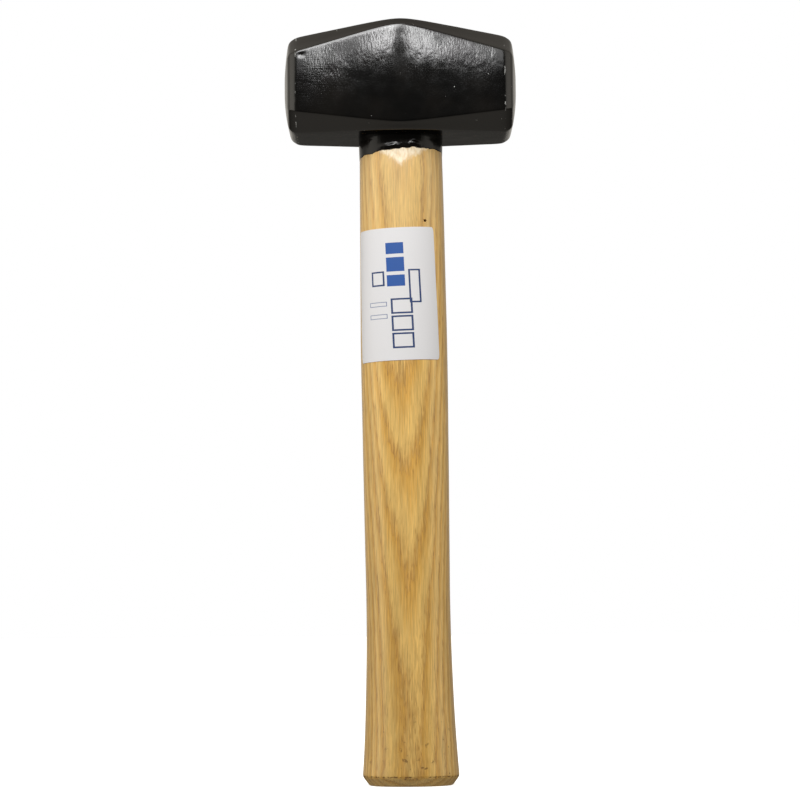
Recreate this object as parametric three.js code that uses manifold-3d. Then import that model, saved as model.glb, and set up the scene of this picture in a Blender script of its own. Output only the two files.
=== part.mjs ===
// A double-faced club hammer: a forged steel head on an oval ash handle, held by one wooden and two steel wedges.
// Millimetres. +Z runs up the handle to the head, X runs along the head from face to face, -Y is the front.
// The origin is the middle of the floor that the hammer stands on, butt down.
import * as THREE from "three";
import { mergeVertices } from "three/addons/utils/BufferGeometryUtils.js";
import Module from "manifold-3d";

// ---- Driving dimensions -------------------------------------------------------------------------------------

const GAP = 0.3; // clearance between pieces that touch

const HEAD = {
  length: 95, // over the bulge of both striking faces
  underside: 263.1, // height of the flat underside
  endHeight: 39.9,
  endDepth: 39.8,
  endChamfer: 7.6, // long edges, where the head meets its faces
  eyeDepth: 43.8, // front to back across the eye, where the cheeks spread
  eyeChamfer: 2.9,
  crownRise: 6.2, // the roof-shaped top, above the end height
  ridgeRadius: 5.8, // how softly the roof and the cheeks turn at the middle
  bevelLength: 3.1, // the bevel round each striking face
  bevelInset: 1.9,
  faceChamfer: 6.7, // the corners of the striking faces
  faceBulge: 2, // each striking face stands out by this much in its middle
  faceFlat: 0.25, // share of the face that is flat, at the top of the bulge
};

const EYE = {
  mouth: { width: 32.2, depth: 23.2 },
  waist: { width: 30.9, depth: 21.8, height: 14.5 }, // height above the underside
  top: { width: 33.2, depth: 24.7 },
};

// Handle sections, from the top edge of the butt's chamfer up to the shoulder under the head: height,
// width (X) and thickness (Y).
const HANDLE_SECTIONS = [
  { height: 3.6, width: 38.8, thickness: 30.3 },
  { height: 8.7, width: 37.9, thickness: 29.5 },
  { height: 17.4, width: 36.8, thickness: 28.6 },
  { height: 26, width: 35.9, thickness: 27.7 },
  { height: 41.5, width: 34.8, thickness: 26.6 },
  { height: 57, width: 34, thickness: 25.9 },
  { height: 74, width: 33.8, thickness: 25.5 },
  { height: 106, width: 34.3, thickness: 25.9 },
  { height: 131, width: 34.9, thickness: 26.4 },
  { height: 155, width: 35.1, thickness: 26.6 },
  { height: 196, width: 34.9, thickness: 26.5 },
  { height: 221, width: 34.6, thickness: 26.3 },
  { height: 247, width: 34.1, thickness: 25.7 },
  { height: 258.8, width: 33.7, thickness: 24.5 },
  { height: 262, width: 33.6, thickness: 24.1 },
];
const BUTT = { chamferInset: 2.7, lean: 1.9 }; // the butt stands a little towards +X
const SHOULDER_RADIUS = 0.6;
const OVAL_POWER = 2.3; // 2 is a plain ellipse; more is flatter on its sides
const OVAL_POINTS = 40;
const TONGUE_STANDS_PROUD = 0.5; // end grain and wedges above the crown of the head

// Wedges: thickness is across the wedge, at its struck end and at its tip.
const WOOD_WEDGE = { length: 30, thickTop: 3.9, thickTip: 1, depth: 29 };
const STEEL_WEDGE = { length: 16.4, thickTop: 2.9, thickTip: 0.8, depth: 19.5, offset: 8.2 };
const WEDGE_OVERCUT = 6; // the wedges start this far above the crown and are ground off with it

const LABEL = {
  height: 54,
  middle: 197.2, // height of its middle
  leftTurn: -72, // degrees round the handle, from the front towards +X
  rightTurn: 47,
  tilt: 2, // degrees, its right side up
  thickness: 0.3,
  rows: 10,
  columns: 22,
};

const FINISH = {
  blackLacquer: { color: "#2a2a2b", roughness: 0.35, metalness: 0.4 },
  varnishedAsh: { color: "#d3b174", roughness: 0.4, metalness: 0 },
  beech: { color: "#b98a56", roughness: 0.7, metalness: 0 },
  wedgeSteel: { color: "#6d6e70", roughness: 0.5, metalness: 0.9 },
  whitePaper: { color: "#e6e4e2", roughness: 0.6, metalness: 0 },
};

// ---- Solids -------------------------------------------------------------------------------------------------

const wasm = await Module();
wasm.setup();

const radians = THREE.MathUtils.degToRad;

// The skin between rings of points; every ring has the same number of them.
function skin(rings) {
  const perRing = rings[0].length;
  const faces = [];
  for (let r = 0; r + 1 < rings.length; r++)
    for (let i = 0; i < perRing; i++) {
      const a = r * perRing + i;
      const b = r * perRing + ((i + 1) % perRing);
      faces.push(a, b, b + perRing, a, b + perRing, a + perRing);
    }
  return faces;
}

function closedBody(rings, faces) {
  const geometry = new THREE.BufferGeometry().setFromPoints(rings.flat());
  geometry.setIndex(faces);
  return geometry;
}

// A solid through convex rings, with a fan of faces over each end.
function loft(rings) {
  const perRing = rings[0].length;
  const last = (rings.length - 1) * perRing;
  const faces = skin(rings);
  for (let i = 1; i + 1 < perRing; i++) faces.push(0, i + 1, i, last, last + i, last + i + 1);
  return closedBody(rings, faces);
}

// A solid through thin rings, with a ladder of faces between the two long sides of each end.
function ladderLoft(rings) {
  const perRing = rings[0].length;
  const last = (rings.length - 1) * perRing;
  const faces = skin(rings);
  for (let i = 0; i + 1 < perRing / 2; i++) {
    const j = perRing - 1 - i; // across from i
    faces.push(i, j, i + 1, i + 1, j, j - 1);
    faces.push(last + i, last + i + 1, last + j, last + i + 1, last + j - 1, last + j);
  }
  return closedBody(rings, faces);
}

// Ring of points round an oval section; turn 0 is the front (-Y) and turns run towards +X.
function ovalPoint(width, thickness, turn) {
  const side = Math.sin(turn);
  const front = Math.cos(turn);
  const reach = (Math.abs(side) ** OVAL_POWER + Math.abs(front) ** OVAL_POWER) ** (-1 / OVAL_POWER);
  return new THREE.Vector2((width / 2) * reach * side, (-thickness / 2) * reach * front);
}

function ovalRing(width, thickness, z, centreX = 0) {
  return Array.from({ length: OVAL_POINTS }, (_, i) => {
    const p = ovalPoint(width, thickness, (2 * Math.PI * i) / OVAL_POINTS);
    return new THREE.Vector3(centreX + p.x, p.y, z);
  });
}

function solidOf(geometry) {
  const bare = geometry.clone();
  bare.deleteAttribute("normal");
  bare.deleteAttribute("uv");
  const merged = mergeVertices(bare, 1e-4);
  const vertProperties = new Float32Array(merged.attributes.position.array);
  const triVerts = new Uint32Array(merged.index.array);
  return new wasm.Manifold(new wasm.Mesh({ numProp: 3, vertProperties, triVerts }));
}

function cut(geometry, ...tools) {
  const left = tools.reduce((body, tool) => body.subtract(solidOf(tool)), solidOf(geometry));
  const mesh = left.getMesh();
  const result = new THREE.BufferGeometry();
  result.setAttribute("position", new THREE.BufferAttribute(mesh.vertProperties, 3));
  result.setIndex(new THREE.BufferAttribute(mesh.triVerts, 1));
  return result;
}

function named(name, geometry, finish) {
  const flat = geometry.toNonIndexed();
  flat.computeVertexNormals();
  const mesh = new THREE.Mesh(flat, new THREE.MeshStandardMaterial(finish));
  mesh.name = name;
  return mesh;
}

// ---- Head ---------------------------------------------------------------------------------------------------

const FACE_X = HEAD.length / 2;
const RIM_X = FACE_X - HEAD.faceBulge;
const BEVEL_X = RIM_X - HEAD.bevelLength;
const EYE_STATIONS = [2, 4, 6, 9, 13, 18, 25, 33]; // distances from the middle where the head's section changes
const TOP = HEAD.underside + HEAD.endHeight + HEAD.crownRise;

// 0 at the middle of the head, 1 at the bevels: straight slopes that meet in a soft bend.
function towardsFace(x) {
  const bend = (distance) => Math.hypot(distance, HEAD.ridgeRadius) - HEAD.ridgeRadius;
  return Math.min(bend(x) / bend(BEVEL_X), 1);
}

const crownHeight = (x) => TOP - HEAD.crownRise * towardsFace(x);

// Eight-sided section across X: a block with its four long edges chamfered.
function headSection(x, depth, bottom, top, chamfer) {
  const y = depth / 2;
  const corners = [
    [-y + chamfer, bottom],
    [y - chamfer, bottom],
    [y, bottom + chamfer],
    [y, top - chamfer],
    [y - chamfer, top],
    [-y + chamfer, top],
    [-y, top - chamfer],
    [-y, bottom + chamfer],
  ];
  return corners.map((corner) => new THREE.Vector3(x, ...corner));
}

function bodySection(x) {
  const t = towardsFace(x);
  const depth = THREE.MathUtils.lerp(HEAD.eyeDepth, HEAD.endDepth, t);
  const chamfer = THREE.MathUtils.lerp(HEAD.eyeChamfer, HEAD.endChamfer, t);
  return headSection(x, depth, HEAD.underside, crownHeight(x), chamfer);
}

// One ring of a striking face: spread 1 is its rim, and the rings climb the bulge towards its flat middle.
function faceSection(side, spread) {
  const rise = (1 - spread ** 2) / (1 - HEAD.faceFlat ** 2);
  const depth = (HEAD.endDepth - 2 * HEAD.bevelInset) * spread;
  const halfHeight = (HEAD.endHeight / 2 - HEAD.bevelInset) * spread;
  const middle = HEAD.underside + HEAD.endHeight / 2;
  const x = side * (RIM_X + HEAD.faceBulge * rise);
  return headSection(x, depth, middle - halfHeight, middle + halfHeight, HEAD.faceChamfer * spread);
}

// The hole through the head, as wide as the tongue plus a clearance all round; spare runs past both ends.
function eyeShape(shrink, bottom, top) {
  const size = ({ width, depth }, z) => ovalRing(width - 2 * shrink, depth - 2 * shrink, z);
  return [
    size(EYE.mouth, bottom),
    size(EYE.mouth, HEAD.underside),
    size(EYE.waist, HEAD.underside + EYE.waist.height),
    size(EYE.top, TOP - HEAD.crownRise / 2),
    size(EYE.top, top),
  ];
}

function makeHead() {
  const half = [...EYE_STATIONS, BEVEL_X];
  const stations = [...half.map((x) => -x).reverse(), 0, ...half];
  const spreads = [HEAD.faceFlat, 0.5, 0.75, 1];
  const rings = [
    ...spreads.map((spread) => faceSection(-1, spread)),
    ...stations.map(bodySection),
    ...[...spreads].reverse().map((spread) => faceSection(1, spread)),
  ];
  const spare = 5;
  return cut(loft(rings), loft(eyeShape(0, HEAD.underside - spare, TOP + spare)));
}

// ---- Handle -------------------------------------------------------------------------------------------------

const leanAt = (z) => BUTT.lean * (1 - z / HEAD.underside);

// Width and thickness at any height, on a smooth curve through the sections.
const sectionCurve = new THREE.CatmullRomCurve3(
  HANDLE_SECTIONS.map(({ height, width, thickness }) => new THREE.Vector3(width, thickness, height)),
);

function sectionAt(z) {
  let low = 0;
  let high = 1;
  const halvings = 24;
  for (let i = 0; i < halvings; i++) {
    const middle = (low + high) / 2;
    if (sectionCurve.getPoint(middle).z < z) low = middle;
    else high = middle;
  }
  const { x: width, y: thickness } = sectionCurve.getPoint(low);
  return { width, thickness };
}

function handleRing(z, inset = 0) {
  const { width, thickness } = sectionAt(z);
  return ovalRing(width - 2 * inset, thickness - 2 * inset, z, leanAt(z));
}

// Everything above the crown of the head: what is ground off the tongue and the wedges.
function groundOff() {
  const reach = 30;
  const stations = [...EYE_STATIONS.map((x) => -x).reverse(), 0, ...EYE_STATIONS];
  const rings = stations.map((x) => {
    const low = crownHeight(x) + TONGUE_STANDS_PROUD;
    const corners = [[-reach, low], [reach, low], [reach, TOP + reach], [-reach, TOP + reach]];
    return corners.map((corner) => new THREE.Vector3(x, ...corner));
  });
  return loft(rings);
}

// A wedge driven down from above the crown, tapering across its thickness. Its length runs along X.
function wedge({ length, thickTop, thickTip, depth }, grow = 0) {
  const struck = TOP + WEDGE_OVERCUT;
  const tip = TOP - depth;
  const slope = (thickTop - thickTip) / 2 / depth;
  const section = (z) => {
    const x = length / 2 + grow;
    const y = thickTip / 2 + grow + slope * (z - tip);
    const corners = [[-x, -y], [x, -y], [x, y], [-x, y]];
    return corners.map(([cx, cy]) => new THREE.Vector3(cx, cy, z));
  };
  return loft([section(tip - grow), section(struck)]);
}

const steelWedge = (side, grow = 0) =>
  wedge(STEEL_WEDGE, grow).rotateZ(Math.PI / 2).translate(side * STEEL_WEDGE.offset, 0, 0);

function makeHandle() {
  const shoulder = HEAD.underside - GAP;
  const smoothSteps = 2; // rings between two named sections
  const heights = HANDLE_SECTIONS.flatMap(({ height }, i) => {
    const next = HANDLE_SECTIONS[i + 1];
    if (!next) return [height];
    return Array.from({ length: smoothSteps }, (_, s) => height + ((next.height - height) * s) / smoothSteps);
  });
  const rings = [
    ovalRing(
      HANDLE_SECTIONS[0].width - 2 * BUTT.chamferInset,
      HANDLE_SECTIONS[0].thickness - 2 * BUTT.chamferInset,
      0,
      BUTT.lean,
    ),
    ...heights.map((z) => handleRing(z)),
    handleRing(shoulder, SHOULDER_RADIUS),
    ...eyeShape(GAP, shoulder, TOP + WEDGE_OVERCUT),
  ];
  const fullKerf = { ...WOOD_WEDGE, length: EYE.top.width * 2 };
  return cut(loft(rings), wedge(fullKerf, GAP), steelWedge(-1, GAP), steelWedge(1, GAP), groundOff());
}

const makeWoodWedge = () =>
  cut(wedge(WOOD_WEDGE), steelWedge(-1, GAP), steelWedge(1, GAP), groundOff());

const makeSteelWedge = (side) => cut(steelWedge(side), groundOff());

// ---- Label --------------------------------------------------------------------------------------------------

// A point on the label at (u, v) from 0 to 1 across and up, standing off the wood.
function labelPoint(u, v, standOff) {
  const turn = radians(THREE.MathUtils.lerp(LABEL.leftTurn, LABEL.rightTurn, u));
  const level = LABEL.middle + (v - 0.5) * LABEL.height;
  const { width, thickness } = sectionAt(level);
  const across = ovalPoint(width, thickness, turn).x;
  const slant = Math.tan(radians(LABEL.tilt));
  const z = level + across * slant;
  const turned = turn - (slant * (level - LABEL.middle)) / (width / 2);
  const p = ovalPoint(width + 2 * standOff, thickness + 2 * standOff, turned);
  return new THREE.Vector3(leanAt(z) + p.x, p.y, z);
}

function makeLabel() {
  const { rows, columns, thickness } = LABEL;
  // Each ring is one upright slice through the label: up its inside and down its outside.
  const slice = (u) => {
    const up = Array.from({ length: rows + 1 }, (_, i) => labelPoint(u, i / rows, GAP));
    const down = Array.from({ length: rows + 1 }, (_, i) => labelPoint(u, 1 - i / rows, GAP + thickness));
    return [...up, ...down];
  };
  return ladderLoft(Array.from({ length: columns + 1 }, (_, i) => slice(i / columns)));
}

// ---- Assembly -----------------------------------------------------------------------------------------------

const hammer = new THREE.Group();
hammer.add(
  named("head", makeHead(), FINISH.blackLacquer),
  named("handle", makeHandle(), FINISH.varnishedAsh),
  named("wood_wedge", makeWoodWedge(), FINISH.beech),
  named("steel_wedge_left", makeSteelWedge(-1), FINISH.wedgeSteel),
  named("steel_wedge_right", makeSteelWedge(1), FINISH.wedgeSteel),
  named("label", makeLabel(), FINISH.whitePaper),
);

export default hammer;
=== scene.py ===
"""Double-faced club hammer: black forged head, oval ash handle, wedges and a paper label.

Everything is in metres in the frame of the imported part. +Z runs up the handle to the head, X runs along the
head from striking face to striking face, -Y is the front, and the hammer stands on its butt at the origin.
"""

import logging
import math
from collections.abc import Callable, Iterator
from contextlib import contextmanager
from dataclasses import dataclass, field
from enum import Enum

import bmesh
import bpy
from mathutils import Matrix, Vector, noise
from mathutils.bvhtree import BVHTree


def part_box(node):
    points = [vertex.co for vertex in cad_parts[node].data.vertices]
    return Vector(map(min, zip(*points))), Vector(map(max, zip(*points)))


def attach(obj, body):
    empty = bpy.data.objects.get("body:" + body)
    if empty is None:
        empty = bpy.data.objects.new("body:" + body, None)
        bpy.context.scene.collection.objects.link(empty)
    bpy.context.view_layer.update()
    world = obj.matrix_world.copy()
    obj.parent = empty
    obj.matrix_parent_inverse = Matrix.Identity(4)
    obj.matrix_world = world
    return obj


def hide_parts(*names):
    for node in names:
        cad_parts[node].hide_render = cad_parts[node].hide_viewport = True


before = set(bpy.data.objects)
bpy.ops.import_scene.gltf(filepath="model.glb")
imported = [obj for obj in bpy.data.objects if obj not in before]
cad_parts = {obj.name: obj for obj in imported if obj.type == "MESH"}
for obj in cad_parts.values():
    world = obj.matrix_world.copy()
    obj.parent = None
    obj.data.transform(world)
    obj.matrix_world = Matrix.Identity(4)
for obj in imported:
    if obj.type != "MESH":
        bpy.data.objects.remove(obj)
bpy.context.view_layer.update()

MM = 0.001
PER_MM = 1000.0  # object coordinates are metres; patterns are laid out in millimetres

log = logging.getLogger("club_hammer")

Colour = tuple[float, float, float, float]
Ring = list[Vector]


# ---- Small tools -----------------------------------------------------------------------------------------


class Pick(Enum):
    """What a selection in edit mode is made of."""

    POINT = "VERT"
    EDGE = "EDGE"
    FACE = "FACE"


class Body(Enum):
    """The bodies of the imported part. The hammer moves as one."""

    HAMMER = "root"


def lerp(start: float, end: float, share: float) -> float:
    """The value a share of the way from start to end."""
    return start + (end - start) * share


def ease(value: float, low: float, high: float) -> float:
    """0 up to low, 1 from high on, and a soft S between them."""
    share = min(max((value - low) / (high - low), 0.0), 1.0)
    return share * share * (3 - 2 * share)


def linear(hex_colour: str) -> Colour:
    """Turns an sRGB hex colour such as #d3b174 into the linear colour that shaders take."""
    digits = hex_colour.lstrip("#")
    coded = [int(digits[i : i + 2], 16) / 255 for i in (0, 2, 4)]
    red, green, blue = (c / 12.92 if c <= 0.04045 else ((c + 0.055) / 1.055) ** 2.4 for c in coded)
    return (red, green, blue, 1.0)


def add(
    tree: bpy.types.NodeTree,
    kind: str,
    inputs: dict[str | int, object] | None = None,
    **settings: object,
) -> bpy.types.Node:
    """Adds a node to a tree.

    Args:
        tree: the material's or world's node tree.
        kind: the node's type name without its ShaderNode prefix.
        inputs: for each input by name or number, a value to set or an output socket to link.
        settings: the node's own properties.

    Returns:
        The new node.
    """
    node = tree.nodes.new(f"ShaderNode{kind}")
    for name, value in settings.items():
        setattr(node, name, value)
    for socket, value in (inputs or {}).items():
        if isinstance(value, bpy.types.NodeSocket):
            tree.links.new(value, node.inputs[socket])
        else:
            node.inputs[socket].default_value = value
    return node


def new_material(name: str) -> tuple[bpy.types.Material, bpy.types.NodeTree, bpy.types.Node]:
    """Makes an empty material; returns it with its node tree and its output node."""
    material = bpy.data.materials.new(name)
    material.use_nodes = True
    material.node_tree.nodes.clear()
    return material, material.node_tree, add(material.node_tree, "OutputMaterial")


# ---- Bench work ------------------------------------------------------------------------------------------


def clear_bench() -> None:
    """Deselects everything, so that the next operator acts on its own piece alone."""
    bpy.ops.object.select_all(action="DESELECT")


def take(piece: bpy.types.Object) -> None:
    """Selects one piece and makes it the active one."""
    clear_bench()
    piece.select_set(True)
    bpy.context.view_layer.objects.active = piece


def name_new(name: str) -> bpy.types.Object:
    """Names the piece that an operator has just added, and its mesh."""
    piece = bpy.context.object
    piece.name = name
    piece.data.name = name
    return piece


@contextmanager
def edit(piece: bpy.types.Object) -> Iterator[bmesh.types.BMesh]:
    """Holds a piece in edit mode and gives its edit mesh, for selecting."""
    take(piece)
    bpy.ops.object.mode_set(mode="EDIT")
    bpy.ops.mesh.select_mode(type=Pick.POINT.value)
    yield bmesh.from_edit_mesh(piece.data)
    bpy.ops.object.mode_set(mode="OBJECT")


def pick(mesh: bmesh.types.BMesh, kind: Pick, wanted: Callable[[Vector], bool]) -> None:
    """Selects the points, edges or faces whose middle is wanted.

    Args:
        mesh: the edit mesh of the piece in edit mode.
        kind: what to select.
        wanted: tells from an element's middle whether it is selected.
    """
    bpy.ops.mesh.select_mode(type=kind.value)
    bpy.ops.mesh.select_all(action="DESELECT")
    if kind is Pick.POINT:
        chosen = [point for point in mesh.verts if wanted(point.co)]
    elif kind is Pick.EDGE:
        chosen = [edge for edge in mesh.edges if wanted((edge.verts[0].co + edge.verts[1].co) / 2)]
    else:
        chosen = [face for face in mesh.faces if wanted(face.calc_center_median())]
    for element in chosen:
        element.select_set(True)


def pull_to(mesh: bmesh.types.BMesh, ring: Ring) -> None:
    """Moves the selected ring of points, one after the other, to the places of another ring."""
    held = sorted((point for point in mesh.verts if point.select), key=lambda point: point.index)
    for point in held:
        point.select_set(False)
    for point, place in zip(held, ring, strict=True):
        point.select_set(True)
        bpy.ops.transform.translate(value=place - point.co)
        point.select_set(False)
    for point in held:
        point.select_set(True)
    mesh.select_flush(True)


def raise_body(name: str, rings: list[Ring]) -> bpy.types.Object:
    """Raises a closed body: a circle is pulled into the first ring, capped, and extruded from ring to ring.

    Args:
        name: the piece's name.
        rings: the rings in order, each with the same number of points.

    Returns:
        The piece, with both ends closed and its faces pointing out.
    """
    clear_bench()
    bpy.ops.mesh.primitive_circle_add(vertices=len(rings[0]), radius=10 * MM, fill_type="NGON")
    piece = name_new(name)
    with edit(piece) as mesh:
        bpy.ops.mesh.select_all(action="SELECT")
        pull_to(mesh, rings[0])
        for ring in rings[1:]:
            bpy.ops.mesh.extrude_region_move()
            mesh.verts.index_update()
            pull_to(mesh, ring)
        bpy.ops.mesh.select_all(action="SELECT")
        bpy.ops.mesh.normals_make_consistent(inside=False)
    return piece


def modify(piece: bpy.types.Object, kind: str, **settings: object) -> None:
    """Adds a modifier with its settings and applies it."""
    take(piece)
    modifier = piece.modifiers.new(kind.lower(), kind)
    for name, value in settings.items():
        setattr(modifier, name, value)
    bpy.ops.object.modifier_apply(modifier=modifier.name)


def subdivide(piece: bpy.types.Object, levels: int) -> None:
    """Rounds a cage into its subdivision surface."""
    modify(piece, "SUBSURF", levels=levels, render_levels=levels)


def cut_away(piece: bpy.types.Object, tool: bpy.types.Object) -> None:
    """Cuts a closed tool's shape out of a piece; the tool stays for further cuts."""
    modify(piece, "BOOLEAN", operation="DIFFERENCE", object=tool, solver="MANIFOLD")


def discard(*tools: bpy.types.Object) -> None:
    """Removes tools that have done their cutting."""
    for tool in tools:
        bpy.data.objects.remove(tool)


def weigh(piece: bpy.types.Object, name: str, weight: Callable[[Vector], float]) -> str:
    """Gives a piece a group of weights, worked out from each point's place; returns the group's name."""
    group = piece.vertex_groups.new(name=name)
    for point in piece.data.vertices:
        group.add([point.index], weight(point.co), "REPLACE")
    return name


def swell(
    piece: bpy.types.Object,
    texture_name: str,
    lump: float,
    height: float,
    group: str = "",
) -> None:
    """Raises and lowers a surface by soft random lumps.

    Args:
        piece: the piece to work on.
        texture_name: the name of the pattern made for it.
        lump: the size of a lump, in metres.
        height: from the deepest hollow to the highest lump, in metres.
        group: a group of weights that fades the lumps, or none.
    """
    pattern = bpy.data.textures.new(texture_name, "CLOUDS")
    pattern.noise_scale = lump
    modify(
        piece,
        "DISPLACE",
        texture=pattern,
        texture_coords="LOCAL",
        strength=height,
        mid_level=0.5,
        vertex_group=group,
    )


def finish_piece(piece: bpy.types.Object, material: bpy.types.Material, slot: str, *nodes: str) -> None:
    """Dresses a finished piece and ties it to the frame.

    Args:
        piece: the piece, with its place in its mesh.
        material: its finish.
        slot: the record's material slot; not used.
        nodes: the CAD nodes that it stands for.
    """
    piece.data.materials.clear()
    piece.data.materials.append(material)
    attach(piece, Body.HAMMER.value)
    if nodes:
        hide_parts(*nodes)
    low, high = (Vector(corner) for corner in (piece.bound_box[0], piece.bound_box[6]))
    size = " x ".join(f"{side / MM:.1f}" for side in high - low)
    log.info("%s: %d faces, %s mm, %s", piece.name, len(piece.data.polygons), size, material.name)


def smooth_shade(piece: bpy.types.Object, crease: float) -> None:
    """Shades a piece smooth, except across edges sharper than crease, in degrees."""
    take(piece)
    bpy.ops.object.shade_smooth_by_angle(angle=math.radians(crease))


# ---- Finishes --------------------------------------------------------------------------------------------


@dataclass(frozen=True)
class BlackLacquer:
    """Black lacquer, dipped over forged steel.

    The coat is thin and glossy, so it mirrors the lamps sharply, but it follows the forging scale below it,
    which breaks the mirror up into fine upright flecks.
    """

    name: str = "black_dipped_lacquer"
    colour: str = "#060606"
    dusty: str = "#12100e"
    dust: str = "#14110d"
    chip_and_glint_grey: str = "#a5a6a4"
    roughness: float = 0.1
    dull: float = 0.15
    ior: float = 1.5
    grain: float = 0.6  # mm from fleck to fleck
    grain_length: float = 1.9  # mm, upright
    grain_depth: float = 0.034  # mm
    scratch_depth: float = 0.018  # mm
    edge: float = 42.4  # mm from the middle to the edges of the bevels, where a broken line of painted highlight runs
    scale_size: float = 4.5  # mm across a flake of scale
    scale_depth: float = 0.05  # mm
    crest: tuple[float, float] = (1.0, 6.0)  # mm from the crest, over which its smoothness fades
    crest_grain: float = 0.2  # the share of the grain left on the crest
    scratch_length: float = 9  # mm
    scratch_width: float = 0.3  # mm
    rubbed_end: tuple[float, float] = (-36, -24)  # mm: strong scratches fade out over this stretch
    faint: float = 0.15  # the strength of the scratches elsewhere
    edge_width: float = 0.22  # mm to either side of the edge
    glint_breaks: tuple[float, float] = (0.55, 0.63)  # the pattern's values where the painted highlight line begins, and is full
    nick: tuple[float, float] = (0.765, 0.785)  # only its highest peaks are nicks

    def make(self) -> bpy.types.Material:
        """Builds the material."""
        material, tree, output = new_material(self.name)
        place = add(tree, "TexCoord").outputs["Object"]
        fleck_scale = (PER_MM / self.grain, PER_MM / self.grain, PER_MM / self.grain_length)
        upright = add(tree, "Mapping", {"Vector": place, "Scale": fleck_scale}).outputs[0]
        even = add(tree, "Mapping", {"Vector": place, "Scale": (PER_MM,) * 3}).outputs[0]
        fleck = add(tree, "TexNoise", {"Vector": upright, "Scale": 1.0, "Detail": 2.0, "Roughness": 0.5})
        flake = add(tree, "TexNoise", {"Vector": even, "Scale": 1 / self.scale_size, "Detail": 2.0})
        drift = add(tree, "TexNoise", {"Vector": even, "Scale": 0.06, "Detail": 3.0})
        # Flecks come and go over the surface: the coat is thicker in some places than in others.
        bare = add(
            tree, "MapRange", {"Value": drift.outputs[0], "From Min": 0.35, "From Max": 0.65, "To Min": 0.45}
        )
        coarse = add(tree, "Math", {0: fleck.outputs[0], 1: bare.outputs[0]}, operation="MULTIPLY").outputs[0]
        # The crest in the middle of a cheek was rubbed smoother: it stays a plain dark band.
        aside = add(
            tree, "Math", {0: add(tree, "SeparateXYZ", {0: place}).outputs[0]}, operation="ABSOLUTE"
        ).outputs[0]
        smooth, rough = (reach * MM for reach in self.crest)
        crest = add(
            tree, "MapRange", {
                "Value": aside, "From Min": smooth, "From Max": rough, "To Min": self.crest_grain
            }
        ).outputs[0]
        grain = add(tree, "Math", {0: coarse, 1: crest}, operation="MULTIPLY")
        shallow = add(tree, "Bump", {"Height": flake.outputs[0], "Distance": self.scale_depth * MM})
        deep = add(
            tree,
            "Bump",
            {"Height": grain.outputs[0], "Distance": self.grain_depth * MM, "Normal": shallow.outputs[0]},
        )
        scored = add(
            tree,
            "Bump",
            {
                "Height": self._scratches(tree, place),
                "Distance": self.scratch_depth * MM,
                "Normal": deep.outputs[0],
            },
        )
        sheen = add(
            tree,
            "MapRange",
            {
                "Value": flake.outputs[0],
                "From Min": 0.3,
                "From Max": 0.75,
                "To Min": self.roughness,
                "To Max": self.dull,
            },
        )
        dust = add(tree, "MapRange", {"Value": drift.outputs[0], "From Min": 0.42, "From Max": 0.7})
        tint = add(
            tree,
            "Mix",
            {0: dust.outputs[0], 6: linear(self.colour), 7: linear(self.dusty)},
            data_type="RGBA",
        )
        # Brown dust lies on every side but the upright cheeks.
        facing = add(tree, "SeparateXYZ", {0: add(tree, "TexCoord").outputs["Normal"]}).outputs[1]
        upright_side = add(tree, "Math", {0: facing}, operation="ABSOLUTE").outputs[0]
        lying = add(
            tree, "MapRange", {
                "Value": upright_side, "From Min": 0.8, "From Max": 0.95, "To Min": 1.0, "To Max": 0.0
            }
        ).outputs[0]
        dusted = add(
            tree, "Mix", {0: lying, 6: tint.outputs[2], 7: linear(self.dust)}, data_type="RGBA"
        ).outputs[2]
        # Light grey in broken lines along the bevels' edges is a painted highlight; the few grey nicks
        # elsewhere are chips in the coat.
        coat = add(
            tree, "Mix", {0: self._chips_and_glints(tree, place), 6: dusted, 7: linear(self.chip_and_glint_grey)}, data_type="RGBA"
        )
        shader = add(
            tree,
            "BsdfPrincipled",
            {
                "Base Color": coat.outputs[2],
                "Roughness": sheen.outputs[0],
                "IOR": self.ior,
                "Normal": scored.outputs[0],
            },
        )
        tree.links.new(shader.outputs[0], output.inputs[0])
        return material

    def _scratches(self, tree: bpy.types.NodeTree, place: bpy.types.NodeSocket) -> bpy.types.NodeSocket:
        """Fine level scratches: faint all over, and strong towards the end at -X, where it was rubbed."""
        level, fine = PER_MM / self.scratch_length, PER_MM / self.scratch_width
        drawn = add(tree, "Mapping", {"Vector": place, "Scale": (level, level, fine)}).outputs[0]
        lines = add(tree, "TexNoise", {"Vector": drawn, "Scale": 1.0, "Detail": 2.0}).outputs[0]
        along = add(tree, "SeparateXYZ", {0: place}).outputs[0]
        near, far = (x * MM for x in self.rubbed_end)
        strong = add(
            tree,
            "MapRange",
            {"Value": along, "From Min": near, "From Max": far, "To Min": 1.0, "To Max": self.faint},
        ).outputs[0]
        return add(tree, "Math", {0: lines, 1: strong}, operation="MULTIPLY").outputs[0]

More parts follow.
